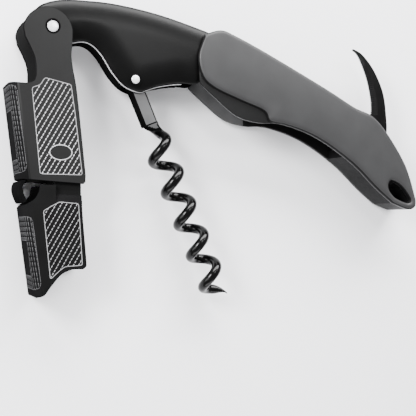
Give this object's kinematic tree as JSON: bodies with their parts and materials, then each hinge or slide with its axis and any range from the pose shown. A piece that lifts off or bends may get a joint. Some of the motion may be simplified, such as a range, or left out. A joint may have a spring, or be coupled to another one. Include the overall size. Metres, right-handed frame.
{
  "type": "lever corkscrew",
  "caption": "Waiter's corkscrew with a two-stage folding lever, a folding coiled worm, crowned grip covers and a serrated foil knife.",
  "frame": {"origin": "centre of the underside of the object's box as it lies flat on its side", "axes": "+X along the handle from the lever to the tail, +Y towards the handle's back, +Z along every hinge pin"},
  "size_m": [0.1257, 0.0818, 0.014],
  "materials": {
    "gloss_black": "gloss",
    "satin_gunmetal": "satin",
    "dark_steel": "brushed",
    "spring_steel": "brushed",
    "pin_chrome": "polished",
    "lever_black": "satin",
    "shank_steel": "brushed",
    "worm_black": "gloss coating",
    "knife_black": "satin coating"
  },
  "bodies": {
    "handle": {"neck": "gloss_black", "near_liner": "dark_steel", "far_liner": "dark_steel", "near_cover": "satin_gunmetal", "far_cover": "satin_gunmetal", "back_spacer": "gloss_black", "knife_housing": "dark_steel", "knife_spring": "spring_steel", "tail_block": "dark_steel", "frame_rivets": "spring_steel", "cover_studs": "spring_steel", "lever_pin": "pin_chrome", "lever_washers": "spring_steel", "worm_pin": "pin_chrome", "worm_pin_collars": "gloss_black", "knife_pin": "pin_chrome", "knife_washers": "spring_steel"},
    "upper_stage": {"upper_lever": "lever_black", "stage_pin": "gloss_black", "stage_spring": "gloss_black", "spring_rivets": "spring_steel"},
    "lower_stage": {"lower_lever": "lever_black", "stage_washers": "spring_steel"},
    "worm": {"worm_shank": "shank_steel", "worm_helix": "worm_black", "shank_pin": "shank_steel"},
    "knife": {"knife_blade": "knife_black"}
  },
  "joints": [
    {"name": "lever_hinge", "type": "hinge", "parent": "handle", "child": "upper_stage", "pos_m": [-0.05139, 0.03272, 0.007], "axis": [0, 0, 1], "range_deg": [-100, 8]},
    {"name": "stage_hinge", "type": "hinge", "parent": "upper_stage", "child": "lower_stage", "pos_m": [-0.04809, -0.00498, 0.007], "axis": [0, 0, 1], "range_deg": [0, 50]},
    {"name": "worm_hinge", "type": "hinge", "parent": "handle", "child": "worm", "pos_m": [-0.02799, 0.02013, 0.007], "axis": [0, 0, 1], "range_deg": [0, 54]},
    {"name": "knife_hinge", "type": "hinge", "parent": "handle", "child": "knife", "pos_m": [0.05141, 0.00522, 0.007], "axis": [0, 0, 1], "range_deg": [-80, 47]}
  ]
}
